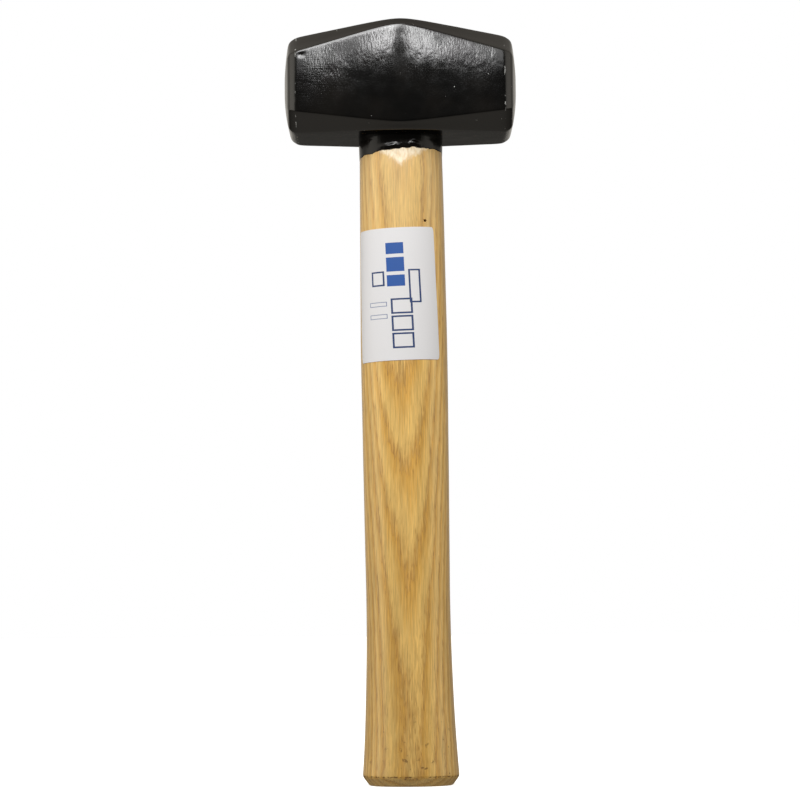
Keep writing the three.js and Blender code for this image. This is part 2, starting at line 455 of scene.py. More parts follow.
    def _chips_and_glints(self, tree: bpy.types.NodeTree, place: bpy.types.NodeSocket) -> bpy.types.NodeSocket:
        """1 where a painted highlight runs in broken lines along the bevels' edges, and in a few tiny nicks
        where the coat is chipped.
        """
        mm = add(tree, "Mapping", {"Vector": place, "Scale": (PER_MM,) * 3}).outputs[0]
        along = add(
            tree, "Math", {0: add(tree, "SeparateXYZ", {0: mm}).outputs[0]}, operation="ABSOLUTE"
        ).outputs[0]
        on_edge = add(
            tree, "Math", {0: along, 1: self.edge, 2: self.edge_width}, operation="COMPARE"
        ).outputs[0]
        glint_breaks = add(tree, "TexNoise", {"Vector": mm, "Scale": 0.35, "Detail": 4.0}).outputs[0]
        thin, through = self.glint_breaks
        broken = add(
            tree, "MapRange", {"Value": glint_breaks, "From Min": thin, "From Max": through, "To Max": 0.8}
        ).outputs[0]
        line = add(tree, "Math", {0: on_edge, 1: broken}, operation="MULTIPLY").outputs[0]
        chips = add(tree, "TexNoise", {"Vector": mm, "Scale": 0.8, "Detail": 2.0}).outputs[0]
        low, high = self.nick
        nicks = add(tree, "MapRange", {"Value": chips, "From Min": low, "From Max": high}).outputs[0]
        return add(tree, "Math", {0: line, 1: nicks}, operation="MAXIMUM").outputs[0]


@dataclass(frozen=True)
class VarnishedAsh:
    """Ash, turned and sanded, under clear varnish.

    Ash is ring-porous: each year's growth starts with a band of open pores, seen as brown dashes along the
    grain. The rings are cut at a shallow angle, so they show as nested V shapes at the front and as close
    lines at the sides. The varnish adds a clear gloss over the softer sheen of the wood.
    """

    neck_top: float  # mm, height of the head's underside
    name: str = "clear_varnished_ash"
    pale: str = "#e5bc6a"
    late: str = "#d29f43"
    early: str = "#b88330"
    pore: str = "#8f5d1a"
    painted_highlight_cream: str = "#f4e6ca"
    painted_sheen_tint: str = "#b9a582"
    dirt: str = "#5e3d14"
    ring_width: float = 2.1  # mm
    pith_ahead: float = 150.0  # mm from the axis to the tree's middle, in front of the handle
    grain_slope: float = 0.05  # how steeply the rings climb towards the back
    first_ring: float = 0.4  # mm, sets where the V shapes fall along the handle
    painted_shade_top: float = 190.0  # mm up the handle: painted shade darkens the wood below this, for light falling off towards the butt
    painted_shade_depth: float = 0.84  # how dark the painted shade makes the wood at the butt
    speck: tuple[float, float] = (0.66, 0.72)  # the pattern's values at a speck's rim and inside it
    dirt_reach: tuple[float, float] = (12.0, 34.0)  # mm up the handle, over which the specks fade out
    chamfer_top: float = 3.9  # mm: the height of the chamfer's edge, where dirt sits
    seam_width: float = 0.28  # mm to either side of it
    painted_highlight_depth: float = 12.0  # mm that the painted highlight patch reaches below the lacquer
    painted_highlight_slope: float = -0.65  # how it narrows towards the sides
    painted_sheen_reach: tuple[float, float] = (185.0, 240.0)  # mm up the handle, over which the painted sheen grows
    painted_sheen_most: float = 0.25

    def make(self) -> bpy.types.Material:
        """Builds the material."""
        material, tree, output = new_material(self.name)
        place = add(tree, "TexCoord").outputs["Object"]
        mm = add(tree, "Mapping", {"Vector": place, "Scale": (PER_MM,) * 3}).outputs[0]
        wander = self._noise_along(tree, place, across=14.0, along=90.0, detail=2.0)
        teeth = self._noise_along(tree, place, across=0.6, along=8.0, detail=2.0)
        fibre = self._noise_along(tree, place, across=0.5, along=11.0, detail=3.0)
        streak = self._noise_along(tree, place, across=5.0, along=150.0, detail=3.0)
        ring = self._ring(tree, mm, wander, teeth)
        clean = self._colour(tree, place, ring, fibre, streak)
        colour = self._dirt_and_painted_light(tree, place, clean)
        relief = add(tree, "Bump", {"Height": fibre, "Distance": 0.012 * MM}).outputs[0]
        brush = self._noise_along(tree, place, across=6.0, along=25.0, detail=2.0)
        flow = add(tree, "Bump", {"Height": brush, "Distance": 0.05 * MM}).outputs[0]
        shader = add(
            tree,
            "BsdfPrincipled",
            {
                "Base Color": colour,
                "Roughness": 0.5,
                "Normal": relief,
                "IOR": 1.5,
                "Coat Weight": 0.6,
                "Coat Roughness": 0.2,
                "Coat Normal": flow,
            },
        )
        tree.links.new(shader.outputs[0], output.inputs[0])
        return material

    def _noise_along(
        self,
        tree: bpy.types.NodeTree,
        place: bpy.types.NodeSocket,
        across: float,
        along: float,
        detail: float,
    ) -> bpy.types.NodeSocket:
        """Noise drawn out along the handle: across and along are its grain in millimetres."""
        scale = (PER_MM / across, PER_MM / across, PER_MM / along)
        drawn = add(tree, "Mapping", {"Vector": place, "Scale": scale}).outputs[0]
        return add(tree, "TexNoise", {"Vector": drawn, "Scale": 1.0, "Detail": detail}).outputs[0]

    def _ring(
        self,
        tree: bpy.types.NodeTree,
        mm: bpy.types.NodeSocket,
        wander: bpy.types.NodeSocket,
        teeth: bpy.types.NodeSocket,
    ) -> bpy.types.NodeSocket:
        """How far through its year each point of the wood grew, from 0 to 1.

        Args:
            tree: the material's node tree.
            mm: the place in millimetres.
            wander: the slow waver of the rings.
            teeth: the fine zigzag where a ring is cut almost flat.

        Returns:
            The year's fraction.
        """
        axes = add(tree, "SeparateXYZ", {0: mm}).outputs
        depth = add(tree, "Math", {0: axes[1], 1: self.pith_ahead}, operation="ADD").outputs[0]
        across = add(tree, "CombineXYZ", {0: axes[0], 1: depth}).outputs[0]
        radius = add(tree, "VectorMath", {0: across}, operation="LENGTH").outputs["Value"]
        inwards = add(tree, "Math", {0: self.first_ring, 1: radius}, operation="SUBTRACT").outputs[0]
        climb = add(
            tree, "Math", {0: axes[2], 1: self.grain_slope, 2: inwards}, operation="MULTIPLY_ADD"
        ).outputs[0]
        waved = add(tree, "Math", {0: wander, 1: 3.2, 2: climb}, operation="MULTIPLY_ADD").outputs[0]
        cut = add(tree, "Math", {0: teeth, 1: 1.5, 2: waved}, operation="MULTIPLY_ADD").outputs[0]
        years = add(tree, "Math", {0: cut, 1: 1 / self.ring_width}, operation="MULTIPLY").outputs[0]
        return add(tree, "Math", {0: years}, operation="FRACT").outputs[0]

    def _colour(
        self,
        tree: bpy.types.NodeTree,
        place: bpy.types.NodeSocket,
        ring: bpy.types.NodeSocket,
        fibre: bpy.types.NodeSocket,
        streak: bpy.types.NodeSocket,
    ) -> bpy.types.NodeSocket:
        """Colours the rings, the pores in them, and the slow streaks through the board."""
        # Pale summer wood darkens towards the year's end, then the porous spring wood starts sharply.
        summer = add(tree, "MapRange", {"Value": ring, "From Min": 0.5, "From Max": 1.0}).outputs[0]
        body = add(
            tree, "Mix", {0: summer, 6: linear(self.pale), 7: linear(self.late)}, data_type="RGBA"
        ).outputs[2]
        spring = add(
            tree, "MapRange", {
                "Value": ring, "From Min": 0.0, "From Max": 0.32, "To Min": 0.75, "To Max": 0.0
            }
        ).outputs[0]
        banded = add(tree, "Mix", {0: spring, 6: body, 7: linear(self.early)}, data_type="RGBA").outputs[2]
        scale = (PER_MM / 0.28, PER_MM / 0.28, PER_MM / 4.5)
        drawn = add(tree, "Mapping", {"Vector": place, "Scale": scale}).outputs[0]
        dashes = add(tree, "TexNoise", {"Vector": drawn, "Scale": 1.0, "Detail": 1.0}).outputs[0]
        open_pores = add(
            tree, "MapRange", {"Value": dashes, "From Min": 0.54, "From Max": 0.7, "To Max": 0.7}
        ).outputs[0]
        in_spring = add(
            tree, "MapRange", {"Value": ring, "From Min": 0.05, "From Max": 0.5, "To Min": 1.0, "To Max": 0.2}
        ).outputs[0]
        pores = add(tree, "Math", {0: open_pores, 1: in_spring}, operation="MULTIPLY").outputs[0]
        pored = add(tree, "Mix", {0: pores, 6: banded, 7: linear(self.pore)}, data_type="RGBA").outputs[2]
        shade = add(
            tree, "MapRange", {
                "Value": fibre, "From Min": 0.3, "From Max": 0.7, "To Min": 0.79, "To Max": 1.14
            }
        ).outputs[0]
        tone = add(
            tree, "MapRange", {
                "Value": streak, "From Min": 0.3, "From Max": 0.7, "To Min": 0.86, "To Max": 1.1
            }
        ).outputs[0]
        both = add(tree, "Math", {0: shade, 1: tone}, operation="MULTIPLY").outputs[0]
        return add(tree, "VectorMath", {0: pored, 3: both}, operation="SCALE").outputs[0]

    def _dirt_and_painted_light(
        self, tree: bpy.types.NodeTree, place: bpy.types.NodeSocket, clean: bpy.types.NodeSocket
    ) -> bpy.types.NodeSocket:
        """Adds dirt and painted light to the wood.

        Painted shade darkens the wood towards the butt, where the light falls off; dirt sits in specks near
        the butt and along the edge of its chamfer. Towards the black lacquer a pale painted sheen grows, and
        just below it lies a cream painted highlight patch.

        Args:
            tree: the material's node tree.
            place: the place, in metres.
            clean: the colour of the clean wood.

        Returns:
            The colour.
        """
        mm = add(tree, "Mapping", {"Vector": place, "Scale": (PER_MM,) * 3}).outputs[0]
        axes = add(tree, "SeparateXYZ", {0: mm}).outputs
        # Painted shade: the wood darkens towards the butt, standing in for the lamps' light falling off down
        # the handle.
        painted_shade_ramp = add(
            tree, "MapRange", {
                "Value": axes[2],
                "From Min": 0.0,
                "From Max": self.painted_shade_top,
                "To Min": self.painted_shade_depth,
                "To Max": 1.0,
            }
        ).outputs[0]
        shaded_wood = add(tree, "VectorMath", {0: clean, 3: painted_shade_ramp}, operation="SCALE").outputs[0]

        spots = add(tree, "TexNoise", {"Vector": mm, "Scale": 0.45, "Detail": 3.0}).outputs[0]
        clear, full = self.speck
        speck = add(
            tree, "MapRange", {"Value": spots, "From Min": clear, "From Max": full, "To Max": 0.7}
        ).outputs[0]
        near_butt = add(
            tree, "MapRange", {
                "Value": axes[2],
                "From Min": self.dirt_reach[0],
                "From Max": self.dirt_reach[1],
                "To Min": 1.0,
                "To Max": 0.0,
            }
        ).outputs[0]
        specks = add(tree, "Math", {0: speck, 1: near_butt}, operation="MULTIPLY").outputs[0]
        from_edge = add(
            tree, "Math", {0: axes[2], 1: self.chamfer_top, 2: self.seam_width}, operation="COMPARE"
        ).outputs[0]
        dots = add(tree, "TexNoise", {"Vector": mm, "Scale": 1.1, "Detail": 2.0}).outputs[0]
        dotted = add(
            tree, "MapRange", {"Value": dots, "From Min": 0.44, "From Max": 0.56, "To Max": 0.85}
        ).outputs[0]
        seam = add(tree, "Math", {0: from_edge, 1: dotted}, operation="MULTIPLY").outputs[0]
        dirty = add(tree, "Math", {0: specks, 1: seam}, operation="MAXIMUM").outputs[0]
        soiled_and_shaded = add(tree, "Mix", {0: dirty, 6: shaded_wood, 7: linear(self.dirt)}, data_type="RGBA").outputs[2]

        # Painted highlight: a mottled cream patch on the front, just below the lacquer, standing in for the
        # lamps' reflection in the varnish.
        aside = add(tree, "Math", {0: axes[0]}, operation="ABSOLUTE").outputs[0]
        reach = add(
            tree, "Math", {
                0: aside, 1: self.painted_highlight_slope, 2: self.painted_highlight_depth - self.neck_top
            }, operation="MULTIPLY_ADD"
        ).outputs[0]
        inside = add(tree, "Math", {0: reach, 1: axes[2]}, operation="ADD").outputs[0]
        torn = self._noise_along(tree, place, across=1.0, along=2.4, detail=4.0)
        edge = add(tree, "Math", {0: torn, 1: 4.0, 2: inside}, operation="MULTIPLY_ADD").outputs[0]
        mottled = add(
            tree, "MapRange", {"Value": torn, "From Min": 0.35, "From Max": 0.6, "To Min": 0.4, "To Max": 0.9}
        )
        painted_highlight_fade = add(
            tree, "MapRange", {"Value": edge, "From Max": 2.4, "To Max": mottled.outputs[0]}
        ).outputs[0]
        front = add(tree, "Math", {0: axes[1], 1: 0.0}, operation="LESS_THAN").outputs[0]
        painted_highlight_mask = add(tree, "Math", {0: painted_highlight_fade, 1: front}, operation="MULTIPLY").outputs[0]
        # Painted sheen: a pale tint grows towards the head, standing in for the lamps' soft reflection in the
        # varnish.
        painted_sheen_ramp = add(
            tree, "MapRange", {
                "Value": axes[2],
                "From Min": self.painted_sheen_reach[0],
                "From Max": self.painted_sheen_reach[1],
                "To Min": 0.0,
                "To Max": self.painted_sheen_most,
            }
        ).outputs[0]
        sheened_wood = add(tree, "Mix", {0: painted_sheen_ramp, 6: soiled_and_shaded, 7: linear(self.painted_sheen_tint)}, data_type="RGBA").outputs[2]
        return add(tree, "Mix", {0: painted_highlight_mask, 6: sheened_wood, 7: linear(self.painted_highlight_cream)}, data_type="RGBA").outputs[2]


@dataclass(frozen=True)
class SplitBeech:
    """Beech, split into a wedge and driven: short dark flecks in a pinkish-brown, dull and fibrous."""

    name: str = "split_beech"
    colour: str = "#b98a56"
    fleck: str = "#7d5229"

    def make(self) -> bpy.types.Material:
        """Builds the material."""
        material, tree, output = new_material(self.name)
        place = add(tree, "TexCoord").outputs["Object"]
        drawn = add(
            tree, "Mapping", {"Vector": place, "Scale": (PER_MM / 1.4, PER_MM / 0.35, PER_MM / 3)}
        ).outputs[0]
        dashes = add(tree, "TexNoise", {"Vector": drawn, "Scale": 1.0, "Detail": 3.0}).outputs[0]
        marks = add(tree, "MapRange", {"Value": dashes, "From Min": 0.5, "From Max": 0.68}).outputs[0]
        tint = add(
            tree, "Mix", {0: marks, 6: linear(self.colour), 7: linear(self.fleck)}, data_type="RGBA"
        ).outputs[2]
        relief = add(tree, "Bump", {"Height": dashes, "Distance": 0.08 * MM}).outputs[0]
        shader = add(tree, "BsdfPrincipled", {"Base Color": tint, "Roughness": 0.75, "Normal": relief})
        tree.links.new(shader.outputs[0], output.inputs[0])
        return material


@dataclass(frozen=True)
class GroundSteel:
    """Mild steel, sheared and then ground flush: fine scratches one way, and a little brown with age."""

    name: str = "ground_wedge_steel"
    colour: str = "#8d8e90"
    aged: str = "#5a4a3d"

    def make(self) -> bpy.types.Material:
        """Builds the material."""
        material, tree, output = new_material(self.name)
        place = add(tree, "TexCoord").outputs["Object"]
        drawn = add(
            tree, "Mapping", {"Vector": place, "Scale": (PER_MM / 5, PER_MM / 0.15, PER_MM / 5)}
        ).outputs[0]
        scratch = add(tree, "TexNoise", {"Vector": drawn, "Scale": 1.0, "Detail": 3.0}).outputs[0]
        even = add(tree, "Mapping", {"Vector": place, "Scale": (PER_MM / 3,) * 3}).outputs[0]
        patch = add(tree, "TexNoise", {"Vector": even, "Scale": 1.0, "Detail": 4.0}).outputs[0]
        brown = add(tree, "MapRange", {"Value": patch, "From Min": 0.52, "From Max": 0.7}).outputs[0]
        tint = add(
            tree, "Mix", {0: brown, 6: linear(self.colour), 7: linear(self.aged)}, data_type="RGBA"
        ).outputs[2]
        sheen = add(
            tree, "MapRange", {
                "Value": patch, "From Min": 0.3, "From Max": 0.7, "To Min": 0.32, "To Max": 0.6
            }
        ).outputs[0]
        relief = add(tree, "Bump", {"Height": scratch, "Distance": 0.02 * MM}).outputs[0]
        shader = add(
            tree,
            "BsdfPrincipled",
            {"Base Color": tint, "Metallic": 1.0, "Roughness": sheen, "Normal": relief},
        )
        tree.links.new(shader.outputs[0], output.inputs[0])
        return material


@dataclass(frozen=True)
class PrintedShape:
    """A plain block or frame printed on the label: place and size in millimetres, from the label's middle."""

    x: float
    y: float
    width: float
    height: float
    turn: float = 0.0  # degrees
    line: float = 0.0  # width of its outline, or 0 for a filled block


@dataclass(frozen=True)
class PrintedPaper:
    """White coated paper, printed in two blues and a grey: flat, slightly glossy, with faint fibres."""

    width: float
    height: float
    name: str = "printed_white_paper"
    colour: str = "#dbdbde"
    blue: str = "#174f9c"
    navy: str = "#1d3768"
    grey: str = "#7f8aa6"
    blocks: tuple[PrintedShape, ...] = (
        PrintedShape(1.0, 18.6, 6.4, 4.6),
        PrintedShape(1.0, 12.0, 6.4, 5.8),
        PrintedShape(1.0, 5.4, 6.4, 4.6),
    )
    frames: tuple[PrintedShape, ...] = (
        PrintedShape(7.6, 3.0, 3.6, 13.0, 0, 0.65),
        PrintedShape(-5.6, 6.4, 4.4, 5.4, 0, 0.65),
        PrintedShape(2.6, -5.0, 7.0, 5.6, 0, 0.7),
        PrintedShape(2.6, -12.0, 7.0, 5.6, 0, 0.7),
        PrintedShape(2.6, -19.0, 7.0, 5.6, 0, 0.7),
    )
    rules: tuple[PrintedShape, ...] = (
        PrintedShape(-6.0, -4.0, 6.5, 1.6, 0, 0.3),
        PrintedShape(-6.0, -9.0, 6.5, 1.6, 0, 0.3),
    )

    def make(self) -> bpy.types.Material:
        """Builds the material."""
        material, tree, output = new_material(self.name)
        flat = add(tree, "TexCoord").outputs["UV"]
        middle = (-self.width / 2, -self.height / 2, 0)
        scale = (self.width, self.height, 1)
        sheet = add(tree, "Mapping", {"Vector": flat, "Scale": scale, "Location": middle}).outputs[0]
        fibres = add(tree, "TexNoise", {"Vector": sheet, "Scale": 2.5, "Detail": 4.0}).outputs[0]
        shade = add(
            tree, "MapRange", {
                "Value": fibres, "From Min": 0.3, "From Max": 0.7, "To Min": 0.97, "To Max": 1.0
            }
        ).outputs[0]
        white = add(tree, "VectorMath", {0: linear(self.colour)[:3], 3: shade}, operation="SCALE").outputs[0]
        printed = white
        for shapes, ink in ((self.rules, self.grey), (self.frames, self.navy), (self.blocks, self.blue)):
            where = self._print(tree, sheet, shapes)
            printed = add(tree, "Mix", {0: where, 6: printed, 7: linear(ink)}, data_type="RGBA").outputs[2]
        relief = add(tree, "Bump", {"Height": fibres, "Distance": 0.01 * MM}).outputs[0]
        shader = add(tree, "BsdfPrincipled", {"Base Color": printed, "Roughness": 0.55, "Normal": relief})
        tree.links.new(shader.outputs[0], output.inputs[0])
        return material

    def _print(
        self, tree: bpy.types.NodeTree, sheet: bpy.types.NodeSocket, shapes: tuple[PrintedShape, ...]
    ) -> bpy.types.NodeSocket:
        """1 where the ink of any of the shapes lies, else 0."""
        ink: bpy.types.NodeSocket | float = 0.0
        for shape in shapes:
            turned = add(
                tree,
                "VectorRotate",
                {"Vector": sheet, "Center": (shape.x, shape.y, 0), "Angle": math.radians(shape.turn)},
            ).outputs[0]
            from_middle = add(
                tree, "VectorMath", {0: turned, 1: (shape.x, shape.y, 0)}, operation="SUBTRACT"
            ).outputs[0]
            folded = add(tree, "VectorMath", {0: from_middle}, operation="ABSOLUTE").outputs[0]
            half = (shape.width / 2, shape.height / 2, 0)
            beyond = add(tree, "VectorMath", {0: folded, 1: half}, operation="SUBTRACT").outputs[0]
            sides = add(tree, "SeparateXYZ", {0: beyond}).outputs
            edge = add(tree, "Math", {0: sides[0], 1: sides[1]}, operation="MAXIMUM").outputs[0]
            if shape.line:
                mark = add(tree, "Math", {0: edge, 1: 0.0, 2: shape.line / 2}, operation="COMPARE").outputs[0]
            else:
                mark = add(tree, "Math", {0: edge, 1: 0.0}, operation="LESS_THAN").outputs[0]
            ink = add(tree, "Math", {0: ink, 1: mark}, operation="MAXIMUM").outputs[0]
        return ink


# ---- Head ------------------------------------------------------------------------------------------------


@dataclass
class Eye:
    """The oval hole through the head, narrowest a third of the way up."""

    mouth: tuple[float, float] = (32.2 * MM, 23.2 * MM)
    waist: tuple[float, float] = (30.9 * MM, 21.8 * MM)
    top: tuple[float, float] = (33.2 * MM, 24.7 * MM)
    waist_rise: float = 14.5 * MM
    oval_power: float = 2.3  # 2 is a plain ellipse; more is flatter on its sides

    def oval(self, size: tuple[float, float], points: int, centre: Vector) -> Ring:
        """A ring of points round an oval, from the front (-Y) towards +X.

        Args:
            size: its width along X and its thickness along Y.
            points: how many points.
            centre: its middle.

        Returns:
            The ring.
        """
        ring = []
        for i in range(points):
            turn = math.tau * i / points
            side, front = math.sin(turn), math.cos(turn)
            reach = (abs(side) ** self.oval_power + abs(front) ** self.oval_power) ** (-1 / self.oval_power)
            ring.append(centre + Vector((size[0] / 2 * reach * side, -size[1] / 2 * reach * front, 0)))
        return ring

    def rings(
        self, shrink: float, heights: tuple[float, float, float, float, float], points: int
    ) -> list[Ring]:
        """Rings up the hole: its bottom, mouth, waist, top and above, all made smaller by shrink."""
        sizes = (self.mouth, self.mouth, self.waist, self.top, self.top)
        return [
            self.oval((size[0] - 2 * shrink, size[1] - 2 * shrink), points, Vector((0, 0, z)))
            for size, z in zip(sizes, heights, strict=True)
        ]


@dataclass
class Head:
    """The forged head: an eight-sided block, swollen round its eye, with a roof top and domed faces."""

    eye: Eye
    end_height: float = 39.9 * MM
    end_depth: float = 39.8 * MM
    end_chamfer: float = 7.6 * MM
    eye_chamfer: float = 2.9 * MM
    ridge_radius: float = 5.8 * MM
    bevel_length: float = 3.1 * MM
    bevel_inset: float = 1.9 * MM
    face_chamfer: float = 6.7 * MM
    face_bulge: float = 2.0 * MM
    face_flat: float = 0.25  # share of a striking face that is flat, at the top of its bulge
    corner_radius: float = 1.1 * MM  # of the long edges
    soft: float = 0.8 * MM  # how far the edges round the faces are rounded to either side
    cheek_radius: float = 240.0 * MM  # the cheeks are crowned from bottom to top
    skin: float = 0.12 * MM  # left for the forged lumps, inside the outer box
    stations: tuple[float, ...] = (1.5, 3.2, 5.2, 8, 12, 16.5, 21.5, 26.5, 31.5, 36.5)
    spreads: tuple[float, ...] = (0.86, 0.66, 0.45, 0.25)

    def __post_init__(self) -> None:
        """Takes the outer sizes from the frame."""
        low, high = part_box("head")
        self.underside = low.z
        self.crown = high.z - self.skin
        self.face_x = high.x
        self.rim_x = self.face_x - self.face_bulge
        self.bevel_x = self.rim_x - self.bevel_length
        self.eye_depth = 2 * (high.y - self.skin)
        self.crown_rise = self.crown - self.underside - self.end_height

    def _towards_face(self, x: float) -> float:
        """0 at the middle of the head, 1 at the bevels: straight slopes that meet in a soft bend."""
        bend = math.hypot(x, self.ridge_radius) - self.ridge_radius
        full = math.hypot(self.bevel_x, self.ridge_radius) - self.ridge_radius
        return min(bend / full, 1.0)

    def crown_at(self, x: float) -> float:
        """Height of the roof at a distance along the head."""
        return self.crown - self.crown_rise * self._towards_face(x)

    def _cheek_middle(self, x: float) -> float:
        """Height at which the cheek stands upright: it wanders a little along the head, as forged."""
        share = x / self.face_x
        wave = 2.4 * math.cos(4.2 * share) - 2.2 * math.exp(-((share + 0.62) ** 2) / 0.06)
        return self.underside + (20.2 + wave) * MM

    def _section(self, x: float, depth: float, low: float, high: float, chamfer: float) -> Ring:
        """One eight-sided ring across X, with rounded corners and crowned cheeks.

        Args:
            x: its place along the head.
            depth: front to back.
            low: height of its flat bottom.
            high: height of its flat top.
            chamfer: size of its four cut corners.

        Returns:
            The ring, counted from the bottom's front end towards the back.
        """
        half = depth / 2
        corners = [
            Vector((x, -half + chamfer, low)),
            Vector((x, half - chamfer, low)),
            Vector((x, half, low + chamfer)),
            Vector((x, half, high - chamfer)),
            Vector((x, half - chamfer, high)),
            Vector((x, -half + chamfer, high)),
            Vector((x, -half, high - chamfer)),
            Vector((x, -half, low + chamfer)),
        ]
        between = (5, 2, 7, 2, 5, 2, 7, 2)  # points along the side that follows each corner
        reach = self.corner_radius * math.tan(math.pi / 8)
        ring: Ring = []
        for i, corner in enumerate(corners):
            before = (corners[i - 1] - corner).normalized() * reach
            onward = corners[(i + 1) % 8] - corner
            after = onward.normalized() * reach
            ring += [corner + before, corner + (before + after) * 0.29, corner + after]
            start, end = corner + after, corner + onward - after
            ring += [start.lerp(end, step / (between[i] + 1)) for step in range(1, between[i] + 1)]
        middle = self._cheek_middle(x)
        for point in ring:
            side = ease(abs(point.y), half - chamfer, half)
            sag = (point.z - middle) ** 2 / (2 * self.cheek_radius) * side
            point.y -= math.copysign(sag, point.y)
        return ring

    def _body_section(self, x: float) -> Ring:
        """The ring of the body at a distance along the head."""
        share = self._towards_face(x)
        depth = lerp(self.eye_depth, self.end_depth, share)
        chamfer = lerp(self.eye_chamfer, self.end_chamfer, share)
        return self._section(x, depth, self.underside, self.crown_at(x), chamfer)

    def _bevel_section(self, side: int, share: float) -> Ring:
        """A ring on the bevel round a striking face, a share of the way from the body to the rim."""
        inset = self.bevel_inset * share
        return self._section(
            side * lerp(self.bevel_x, self.rim_x, share),
            self.end_depth - 2 * inset,
            self.underside + inset,
            self.underside + self.end_height - inset,
            lerp(self.end_chamfer, self.face_chamfer, share),
        )

    def _face_section(self, side: int, spread: float) -> Ring:
        """A ring on a striking face: spread 1 is its rim, and smaller ones climb the bulge."""
        rise = (1 - spread**2) / (1 - self.face_flat**2)
        half_height = (self.end_height / 2 - self.bevel_inset) * spread
        middle = self.underside + self.end_height / 2
        return self._section(
            side * (self.rim_x + self.face_bulge * rise),
            (self.end_depth - 2 * self.bevel_inset) * spread,
            middle - half_height,
            middle + half_height,
            self.face_chamfer * spread,
        )

    def _end_rings(self, side: int) -> list[Ring]:
        """The rings from the body's end to the middle of a striking face."""
        on_bevel = self.soft / math.hypot(self.bevel_length, self.bevel_inset)
        on_face = 1 - self.soft / (self.end_depth / 2)
        return [
            self._body_section(side * (self.bevel_x - self.soft)),
            self._bevel_section(side, on_bevel),
            self._bevel_section(side, 0.5),
            self._bevel_section(side, 1 - on_bevel),
            self._face_section(side, on_face),
            *(self._face_section(side, spread) for spread in self.spreads),
        ]

    def build(self) -> bpy.types.Object:
        """Forges the block and punches its eye.

        Returns:
            The head.
        """
        half = [x * MM for x in self.stations]
        body = [self._body_section(x) for x in [-x for x in reversed(half)] + [0.0] + half]
        rings = [*reversed(self._end_rings(-1)), *body, *self._end_rings(1)]
        head = raise_body("forged_head", rings)
        subdivide(head, 2)
        faces_free = weigh(head, "forged", lambda place: 1 - ease(abs(place.x), self.bevel_x, self.rim_x))
        swell(head, "forged_waves", 17 * MM, 0.13 * MM, faces_free)
        swell(head, "hammer_marks", 5 * MM, 0.035 * MM, faces_free)
        self._ding(head)
        punch = self._punch()
        cut_away(head, punch)
        discard(punch)
        smooth_shade(head, 38)
        return head

    def _ding(self, head: bpy.types.Object) -> None:
        """Knocks a small dent into the front cheek, near the corner at -X."""
        spot = Vector((-40.3 * MM, -self.end_depth / 2, self.underside + 31.2 * MM))
        nearest = min(head.data.vertices, key=lambda point: (point.co - spot).length).co.copy()
        with edit(head) as mesh:
            pick(mesh, Pick.POINT, lambda place: (place - nearest).length < 0.01 * MM)
            bpy.ops.transform.translate(
                value=(0.1 * MM, 0.35 * MM, 0),
                use_proportional_edit=True,
                proportional_edit_falloff="SMOOTH",
                proportional_size=1.6 * MM,
            )

    def _punch(self) -> bpy.types.Object:
        """The tool that cuts the eye."""
        spare = 6 * MM
        low, high = self.underside, self.crown
        heights = (low - spare, low, low + self.eye.waist_rise, high - self.crown_rise / 2, high + spare)
        return raise_body("eye_punch", self.eye.rings(0, heights, 64))

    def grinder(self, proud: float) -> bpy.types.Object:
        """A tool that grinds off all that stands more than proud above the roof of the head."""
        reach = 30 * MM
        half = [x * MM for x in self.stations if x < 30]
        rings = []
        for x in [-x for x in reversed(half)] + [0.0] + half:
            low = self.crown_at(x) + proud
            high = self.crown + reach
            rings.append(
                [
                    Vector((x, -reach, low)),
                    Vector((x, reach, low)),
                    Vector((x, reach, high)),
                    Vector((x, -reach, high)),
                ]
            )
        return raise_body("grinder", rings)


# ---- Handle ----------------------------------------------------------------------------------------------


@dataclass(frozen=True)
class HandleSection:
    """One oval section of the handle, in millimetres."""

    height: float
    width: float
    thickness: float


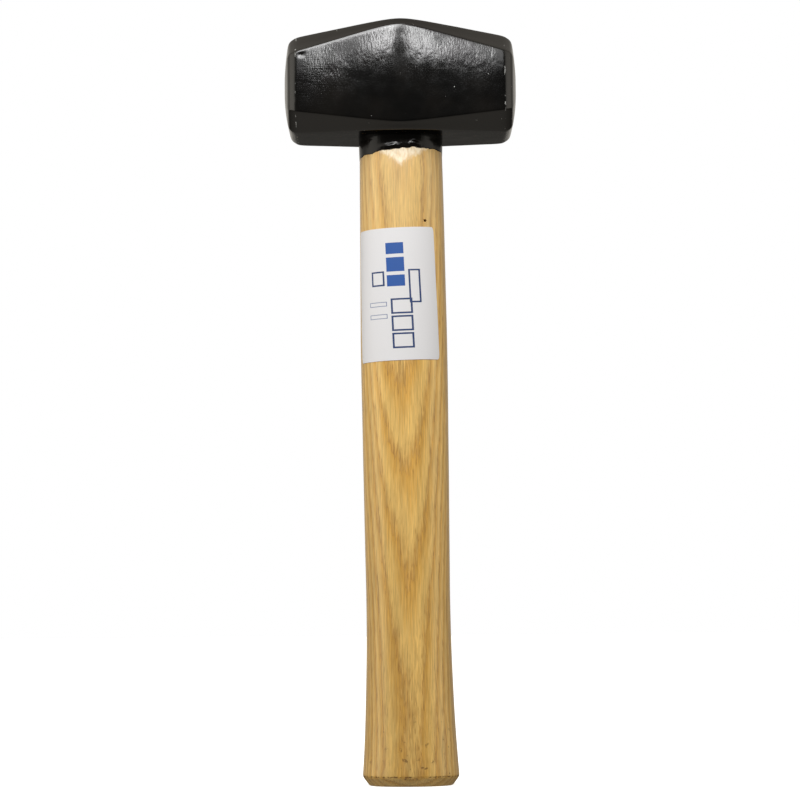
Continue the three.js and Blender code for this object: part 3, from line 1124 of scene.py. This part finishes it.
@dataclass
class Handle:
    """The ash handle: flared at its butt, slim above it, full in the middle, drawn in under the head."""

    eye: Eye
    head: Head
    sections: tuple[HandleSection, ...] = (
        HandleSection(8.7, 37.9, 29.5),
        HandleSection(17.4, 36.8, 28.6),
        HandleSection(26, 35.9, 27.7),
        HandleSection(41.5, 34.8, 26.6),
        HandleSection(57, 34, 25.9),
        HandleSection(74, 33.8, 25.5),
        HandleSection(90, 34.0, 25.7),
        HandleSection(106, 34.3, 25.9),
        HandleSection(131, 34.9, 26.4),
        HandleSection(155, 35.1, 26.6),
        HandleSection(175, 35.1, 26.6),
        HandleSection(196, 34.9, 26.5),
        HandleSection(221, 34.6, 26.3),
        HandleSection(236, 34.4, 26.1),
        HandleSection(247, 34.1, 25.7),
        HandleSection(250.5, 34.0, 25.45),
        HandleSection(254, 33.9, 24.95),
        HandleSection(258.8, 33.7, 24.35),
    )
    butt: HandleSection = HandleSection(3.6, 38.8, 30.3)
    lean: float = 1.9 * MM  # the butt stands this much towards +X
    points: int = 32
    proud: float = 0.35 * MM  # how far its end stands above the roof of the head
    wood_fill: float = 0.05 * MM  # the driven tongue all but fills the eye
    pin_hole: tuple[float, float] = (9.5 * MM, 227.1 * MM)
    pin_radius: float = 0.6 * MM

    def lean_at(self, z: float) -> float:
        """How far the handle's middle stands towards +X at a height."""
        return self.lean * (1 - z / self.head.underside)

    def _ring(self, height: float, width: float, thickness: float) -> Ring:
        """One ring of the cage, made larger by what subdividing takes off an oval of this many points."""
        kept = (2 + math.cos(math.tau / self.points)) / 3
        z = height * MM
        size = (width * MM / kept, thickness * MM / kept)
        return self.eye.oval(size, self.points, Vector((self.lean_at(z), 0, z)))

    def _butt_rings(self) -> list[Ring]:
        """The flat butt and its chamfer, with narrow rings that hold its edges."""
        width, thickness, top = self.butt.width, self.butt.thickness, self.butt.height
        rings = []
        for height, inset in (
            (0, 6.5), (0, 3.6), (0, 2.95), (0.22, 2.5), (1.8, 1.35), (3.2, 0.3), (3.95, 0.07)
        ):
            rings.append(self._ring(height, width - 2 * inset, thickness - 2 * inset))
        rings.append(self._ring(top + 1.6, width - 0.3, thickness - 0.25))
        return rings

    def build(self) -> bpy.types.Object:
        """Turns and sands the handle and makes its pin hole.

        Returns:
            The handle.
        """
        body = [self._ring(s.height, s.width, s.thickness) for s in self.sections]
        low, high = self.head.underside, self.head.crown
        neck = [self._ring(261.6, 33.6, 24.15), self._ring(262.6, 33.4, 23.9)]
        heights = (
            low - 0.2 * MM,
            low + 1.0 * MM,
            low + self.eye.waist_rise,
            high - self.head.crown_rise / 2,
            high + 4 * MM,
        )
        tongue = self.eye.rings(self.wood_fill, heights, self.points)
        handle = raise_body("ash_handle", [*self._butt_rings(), *body, *neck, *tongue])
        subdivide(handle, 2)
        below_head = weigh(
            handle,
            "below_head",
            lambda place: ease(place.z, 0, 9 * MM) - ease(place.z, low - 12 * MM, low - 2 * MM),
        )
        swell(handle, "hand_sanded", 55 * MM, 0.35 * MM, below_head)
        self._prick(handle)
        smooth_shade(handle, 40)
        return handle

    def _prick(self, handle: bpy.types.Object) -> None:
        """Makes the pin hole in the front, above the label."""
        clear_bench()
        x, z = self.pin_hole
        bpy.ops.mesh.primitive_cone_add(
            vertices=16,
            radius1=self.pin_radius,
            radius2=self.pin_radius * 0.6,
            depth=12 * MM,
            location=(x, -7.5 * MM, z),
            rotation=(-math.pi / 2, 0, 0),
        )
        pin = name_new("pin")
        bpy.ops.object.transform_apply()
        cut_away(handle, pin)
        discard(pin)


@dataclass
class Surface:
    """The finished skin of a piece, for laying other pieces on it."""

    piece: bpy.types.Object
    tree: BVHTree = field(init=False)

    def __post_init__(self) -> None:
        """Reads the piece's mesh."""
        graph = bpy.context.evaluated_depsgraph_get()
        self.tree = BVHTree.FromObject(self.piece, graph)

    def point(self, axis: Vector, outwards: Vector, stand_off: float) -> Vector:
        """The point where a line from the axis leaves the piece, moved off the skin by stand_off."""
        hit, normal, _, _ = self.tree.ray_cast(axis + outwards.normalized() * 60 * MM, -outwards)
        if normal.dot(outwards) < 0:
            normal = -normal
        return hit + normal * stand_off


# ---- Wedges ----------------------------------------------------------------------------------------------


@dataclass
class Wedge:
    """A wedge driven into the top of the handle."""

    name: str
    length: float
    thick_top: float
    thick_tip: float
    depth: float
    x: float = 0.0
    crosswise: bool = False
    overcut: float = 5 * MM

    def build(self, name: str, crown: float, grow: float = 0.0) -> bpy.types.Object:
        """Shapes the wedge from a block: its lower face is squeezed to the tip and its edges are broken.

        Args:
            name: the piece's name.
            crown: height of the roof of the head.
            grow: how much larger on every side, for cutting the kerf that it sits in.

        Returns:
            The wedge, standing above the roof by its overcut.
        """
        clear_bench()
        low, high = crown - self.depth - grow, crown + self.overcut
        bpy.ops.mesh.primitive_cube_add(size=1, location=(self.x, 0, (low + high) / 2))
        piece = name_new(name)
        along, across = self.length + 2 * grow, self.thick_top + 2 * grow
        piece.scale = (across, along, high - low) if self.crosswise else (along, across, high - low)
        bpy.ops.object.transform_apply()
        narrow = (self.thick_tip + 2 * grow) / across
        taper = (narrow, 1, 1) if self.crosswise else (1, narrow, 1)
        with edit(piece) as mesh:
            pick(mesh, Pick.FACE, lambda place: place.z < low + 0.01 * MM)
            bpy.ops.transform.resize(value=taper, center_override=(self.x, 0, low))
            if not grow:
                bpy.ops.mesh.select_all(action="SELECT")
                bpy.ops.mesh.bevel(offset=0.18 * MM, segments=2)
                bpy.ops.mesh.select_all(action="SELECT")
                bpy.ops.mesh.subdivide(number_cuts=5)
        return piece


# ---- Lacquer on the neck ---------------------------------------------------------------------------------


@dataclass
class NeckLacquer:
    """The black lacquer that ran down from the head over the top of the handle and set in a ragged bead."""

    handle: Handle
    run: float = 6.6 * MM  # how far down it reaches at the front
    sag: float = 1.8 * MM  # further down at the sides than at the front
    slant: float = 1.1 * MM  # further down at -X than at +X
    raggedness: float = 0.55 * MM
    thickness: float = 0.04 * MM
    growth: float = 0.05  # thickness gained on the way up to the head
    bead: float = 0.3 * MM
    # mm: where the bead hangs thick, how wide
    drops: tuple[tuple[float, float], ...] = ((-4.4, 3.6), (5.8, 2.3))
    hidden: float = 0.2 * MM  # how far below the wood the film dips past its edge
    reach: float = 14 * MM
    shoulder: float = 2.0 * MM  # below the head, where the wood starts to turn inwards

    @property
    def full(self) -> float:
        """More than the film's greatest thickness, hidden part included."""
        return self.hidden + self.thickness + self.bead + self.growth * 2 * self.run

    def _edge(self, turn: float) -> float:
        """How far below the head the film ends, at a turn round the neck from the front towards +X."""
        spot = Vector((math.sin(turn), math.cos(turn), 0))
        ragged = noise.fractal(spot * 4.0, 0.7, 2.1, 6) * self.raggedness
        return self.run + self.sag * (1 - math.cos(turn)) - self.slant * math.sin(turn) + ragged

    def _weight(self, place: Vector) -> float:
        """How thick the film stands at a point: nothing past its edge, most in the bead just above it."""
        z_from_edge = place.z - (self.handle.head.underside - self._edge(math.atan2(place.x, -place.y)))
        film = ease(z_from_edge, -0.1 * MM, 0.45 * MM)
        swollen = sum(
            math.exp(-(((place.x / MM - x) / width) ** 2)) for x, width in self.drops
        ) if place.y < 0 else 0
        bead = swollen * math.exp(-(((z_from_edge - 1.9 * MM) / (0.9 * MM)) ** 2))
        coat = self.thickness + self.growth * max(z_from_edge, 0) + self.bead * bead
        return film * (self.hidden + coat) / self.full

    def build(self, handle_piece: bpy.types.Object) -> bpy.types.Object:
        """Lays the film on a copy of the neck's own skin and carries it up into the head.

        Args:
            handle_piece: the finished handle.

        Returns:
            The film.
        """
        low = self.handle.head.underside
        take(handle_piece)
        bpy.ops.object.duplicate()
        film = name_new("neck_lacquer")
        with edit(film) as mesh:
            for height, cleared in ((low - self.reach, "clear_inner"), (low - self.shoulder, "clear_outer")):
                bpy.ops.mesh.select_all(action="SELECT")
                bpy.ops.mesh.bisect(plane_co=(0, 0, height), plane_no=(0, 0, 1), **{cleared: True})
            pick(mesh, Pick.EDGE, lambda place: place.z > low - self.shoulder - 0.01 * MM)
            bpy.ops.mesh.extrude_region_move(TRANSFORM_OT_translate={"value": (0, 0, self.shoulder + 1 * MM)})
            bpy.ops.mesh.select_all(action="SELECT")
            bpy.ops.mesh.subdivide(number_cuts=3)
        modify(film, "DISPLACE", strength=-self.hidden, mid_level=0.0)
        thick = weigh(film, "thick", self._weight)
        modify(film, "DISPLACE", strength=self.full, mid_level=0.0, vertex_group=thick)
        modify(film, "SOLIDIFY", thickness=0.4 * MM, offset=-1)
        smooth_shade(film, 60)
        return film


# ---- Label -----------------------------------------------------------------------------------------------


@dataclass
class Label:
    """The paper label, wrapped round the front of the handle a little askew."""

    handle: Handle
    skin: Surface
    height: float = 54 * MM
    left_turn: float = -72.0
    right_turn: float = 47.0
    tilt: float = 2.0
    columns: int = 26
    rows: int = 12
    stand_off: float = 0.08 * MM
    thickness: float = 0.1 * MM

    def _place(self, u: float, v: float) -> Vector:
        """The point on the handle for a point on the flat label, with u across and v up from 0 to 1."""
        low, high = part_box("label")
        level = (low.z + high.z) / 2 + (v - 0.5) * self.height
        turn = math.radians(lerp(self.left_turn, self.right_turn, u))
        slant = math.tan(math.radians(self.tilt))
        z = level + 17 * MM * math.sin(turn) * slant
        turned = turn - slant * (v - 0.5) * self.height / (17 * MM)
        axis = Vector((self.handle.lean_at(z), 0, z))
        outwards = Vector((17.4 * math.sin(turned), -13.2 * math.cos(turned), 0))
        return self.skin.point(axis, outwards, self.stand_off)

    def build(self) -> bpy.types.Object:
        """Lays the paper on the wood.

        Returns:
            The label.
        """
        clear_bench()
        bpy.ops.mesh.primitive_grid_add(x_subdivisions=self.columns, y_subdivisions=self.rows, size=1)
        label = name_new("paper_label")
        with edit(label) as mesh:
            mesh.verts.ensure_lookup_table()
            bpy.ops.mesh.select_all(action="SELECT")
            pull_to(mesh, [self._place(point.co.x + 0.5, point.co.y + 0.5) for point in mesh.verts])
        subdivide(label, 2)
        modify(label, "SOLIDIFY", thickness=self.thickness, offset=1)
        smooth_shade(label, 50)
        return label


# ---- Studio ----------------------------------------------------------------------------------------------


@dataclass
class Softbox:
    """A square lamp with a diffuser, hung where the head mirrors it."""

    name: str
    left: float
    right: float
    low: float
    high: float
    y: float
    brightness: float

    def hang(self) -> None:
        """Hangs the lamp, facing +Y."""
        clear_bench()
        middle = ((self.left + self.right) / 2, self.y, (self.low + self.high) / 2)
        bpy.ops.object.light_add(type="AREA", location=middle, rotation=(math.pi / 2, 0, 0))
        lamp = name_new(self.name)
        lamp.data.shape = "RECTANGLE"
        lamp.data.size = self.right - self.left
        lamp.data.size_y = self.high - self.low
        lamp.data.energy = self.brightness * 4 * lamp.data.size * lamp.data.size_y
        lamp.visible_camera = False


@dataclass
class Studio:
    """A pale floor in a bright tent, with a dark opening at the front for the camera, and two lamps."""

    floor_radius: float = 12.0
    floor_colour: str = "#f4f4f2"
    key_place: tuple[float, float, float] = (-0.12, -0.48, 0.68)
    key_size: float = 0.3
    key_brightness: float = 8.8
    tent_colour: str = "#fff9ee"
    floor_glow: float = 0.8  # the floor is a white sheet, lit a little from below
    softboxes: tuple[Softbox, ...] = (
        Softbox("lamp_left", -0.155, -0.07, 0.72, 1.05, -1.3, 18.0),
        Softbox("lamp_right", 0.088, 0.17, 0.72, 1.05, -1.3, 19.0),
        Softbox("softbox_left", -0.55, -0.155, 0.71, 1.05, -1.3, 1.7),
        Softbox("softbox_right", 0.17, 0.55, 0.71, 1.05, -1.3, 2.1),
    )
    left_glow: float = 0.62  # the tent's glow, as the hammer sees it
    right_glow: float = 0.48
    bright_walls: tuple[tuple[tuple[float, float, float], float], ...] = (
        ((-0.88, -0.45, 0.15), 1.2),
        ((0.88, -0.45, 0.15), 0.8),
    )  # which way, and how much brighter
    opening_way: tuple[float, float, float] = (0.0, -0.996, 0.087)  # towards the camera
    opening_shape: tuple[float, float, float] = (0.45, 1.0, 1.0)  # below 1 makes it wider that way
    opening_glow: float = 0.14

    def set_up(self) -> None:
        """Lays the floor, lights the tent and hangs the lamps."""
        self._lay_floor()
        self._light_tent()
        for softbox in self.softboxes:
            softbox.hang()
        self._hang_key()
        bpy.context.scene.view_settings.view_transform = "Standard"

    def _lay_floor(self) -> None:
        """Lays the floor."""
        clear_bench()
        below = (0, 0, -0.05 * MM)
        bpy.ops.mesh.primitive_circle_add(
            vertices=96, radius=self.floor_radius, fill_type="NGON", location=below
        )
        floor = name_new("floor")
        bpy.ops.object.transform_apply()
        material, tree, output = new_material("pale_floor")
        shader = add(
            tree,
            "BsdfPrincipled",
            {
                "Base Color": linear(self.floor_colour),
                "Roughness": 0.9,
                "Emission Color": linear(self.floor_colour),
                "Emission Strength": self.floor_glow,
            },
        )
        tree.links.new(shader.outputs[0], output.inputs[0])
        floor.data.materials.append(material)
        floor.visible_glossy = False
        floor.visible_diffuse = False

    def _hang_key(self) -> None:
        """Hangs the main lamp, close above the head at the left, so that the light fades down the handle."""
        clear_bench()
        aim = Vector((0, 0, 0.2))
        place = Vector(self.key_place)
        turn = (aim - place).to_track_quat("-Z", "Y").to_euler()
        bpy.ops.object.light_add(type="AREA", location=place, rotation=turn)
        lamp = name_new("key_lamp")
        lamp.data.size = self.key_size
        lamp.data.energy = self.key_brightness * 4 * self.key_size**2
        lamp.visible_camera = False

    def _light_tent(self) -> None:
        """Lights the tent: white to the camera; for the hammer bright at the left, dark below and ahead."""
        world = bpy.data.worlds.new("light_tent")
        bpy.context.scene.world = world
        world.use_nodes = True
        tree = world.node_tree
        tree.nodes.clear()
        direction = add(tree, "TexCoord").outputs["Generated"]
        axes = add(tree, "SeparateXYZ", {0: direction}).outputs
        sides = add(
            tree, "MapRange", {
                "Value": axes[0], "From Min": -1.0, "To Min": self.left_glow, "To Max": self.right_glow
            }
        ).outputs[0]
        below = add(
            tree, "MapRange", {
                "Value": axes[2], "From Min": -0.95, "From Max": -0.3, "To Min": 0.85, "To Max": 0.16
            }
        ).outputs[0]
        above = add(
            tree, "MapRange", {
                "Value": axes[2], "From Min": -0.12, "From Max": 0.02, "To Min": below, "To Max": 1.0
            }
        ).outputs[0]
        walls: bpy.types.NodeSocket = sides
        for wall, glow in self.bright_walls:
            towards = add(
                tree, "VectorMath", {0: direction, 1: wall}, operation="DOT_PRODUCT"
            ).outputs["Value"]
            near = add(tree, "MapRange", {"Value": towards, "From Min": 0.8, "To Max": glow}).outputs[0]
            walls = add(tree, "Math", {0: walls, 1: near}, operation="ADD").outputs[0]
        narrowed = add(
            tree, "VectorMath", {0: direction, 1: self.opening_shape}, operation="MULTIPLY"
        ).outputs[0]
        unit = add(tree, "VectorMath", {0: narrowed}, operation="NORMALIZE").outputs[0]
        ahead = add(
            tree, "VectorMath", {0: unit, 1: self.opening_way}, operation="DOT_PRODUCT"
        ).outputs["Value"]
        opening = add(
            tree,
            "MapRange",
            {"Value": ahead, "From Min": 0.9, "From Max": 0.95, "To Min": 1.0, "To Max": self.opening_glow},
        ).outputs[0]
        lit = add(tree, "Math", {0: walls, 1: above}, operation="MULTIPLY").outputs[0]
        tent = add(tree, "Math", {0: lit, 1: opening}, operation="MULTIPLY").outputs[0]
        seen = add(tree, "LightPath").outputs["Is Camera Ray"]
        strength = add(tree, "Mix", {0: seen, 2: tent, 3: 1.0}, data_type="FLOAT").outputs[0]
        cloth = add(
            tree, "Mix", {0: seen, 6: linear(self.tent_colour), 7: (1, 1, 1, 1)}, data_type="RGBA"
        ).outputs[2]
        glow = add(tree, "Background", {"Color": cloth, "Strength": strength})
        output = add(tree, "OutputWorld")
        tree.links.new(glow.outputs[0], output.inputs[0])


@dataclass
class Viewpoint:
    """The camera: low in front of the hammer, looking a little up at the head."""

    location: tuple[float, float, float] = (-2.06 * MM, -965 * MM, 64.2 * MM)
    pitch: float = 0.094  # radians above level
    roll: float = 0.009
    lens: float = 107.06  # mm, on the default sensor 36 mm wide

    def set_up(self) -> None:
        """Places the camera and makes it the scene's."""
        clear_bench()
        bpy.ops.object.camera_add(location=self.location, rotation=(math.pi / 2 + self.pitch, self.roll, 0))
        camera = name_new("camera")
        camera.data.lens = self.lens
        camera.data.clip_start = 0.01
        bpy.context.scene.camera = camera


# ---- Assembly --------------------------------------------------------------------------------------------


def build_hammer() -> None:
    """Builds and dresses every piece of the hammer."""
    eye = Eye()
    # The run dried as a level film. Its low IOR keeps the tent's reflection at its sides nearly black.
    runs = BlackLacquer(
        name="thick_black_lacquer", roughness=0.1, dull=0.14, ior=1.33, grain_depth=0.01, scratch_depth=0.0
    ).make()
    beech = SplitBeech().make()
    steel = GroundSteel().make()

    head = Head(eye)
    lacquer = BlackLacquer().make()
    finish_piece(head.build(), lacquer, "black_lacquer", "head")

    handle = Handle(eye, head)
    ash = VarnishedAsh(head.underside / MM).make()
    handle_piece = handle.build()
    skin = Surface(handle_piece)
    neck = NeckLacquer(handle).build(handle_piece)
    grinder = head.grinder(handle.proud)
    wood_wedge = Wedge("beech_wedge", 30 * MM, 3.9 * MM, 1.0 * MM, 29 * MM)
    steel_wedges = [
        Wedge(f"steel_wedge_{side}_driven", 16.4 * MM, 2.9 * MM, 0.8 * MM, 19.5 * MM, x * MM, True)
        for side, x in (("left", -8.2), ("right", 8.2))
    ]
    kerf = wood_wedge.build("kerf", head.crown, 0.03 * MM)
    slots = [wedge.build("slot", head.crown, 0.03 * MM) for wedge in steel_wedges]
    cut_away(handle_piece, kerf)
    for slot in slots:
        cut_away(handle_piece, slot)
    cut_away(handle_piece, grinder)
    finish_piece(handle_piece, ash, "varnished_ash", "handle")

    wood_piece = wood_wedge.build(wood_wedge.name, head.crown)
    for slot in slots:
        cut_away(wood_piece, slot)
    cut_away(wood_piece, grinder)
    finish_piece(wood_piece, beech, "beech", "wood_wedge")
    for wedge, node in zip(steel_wedges, ("steel_wedge_left", "steel_wedge_right"), strict=True):
        piece = wedge.build(wedge.name, head.crown)
        cut_away(piece, grinder)
        finish_piece(piece, steel, "wedge_steel", node)
    discard(kerf, grinder, *slots)

    finish_piece(neck, runs, "black_lacquer")

    label = Label(handle, skin)
    paper = PrintedPaper(32.0, label.height / MM).make()
    finish_piece(label.build(), paper, "white_paper", "label")


def main() -> None:
    """Builds the hammer, then the studio round it."""
    logging.basicConfig(level=logging.INFO, format="%(name)s: %(message)s")
    build_hammer()
    Studio().set_up()
    Viewpoint().set_up()


if __name__ == "__main__":
    main()
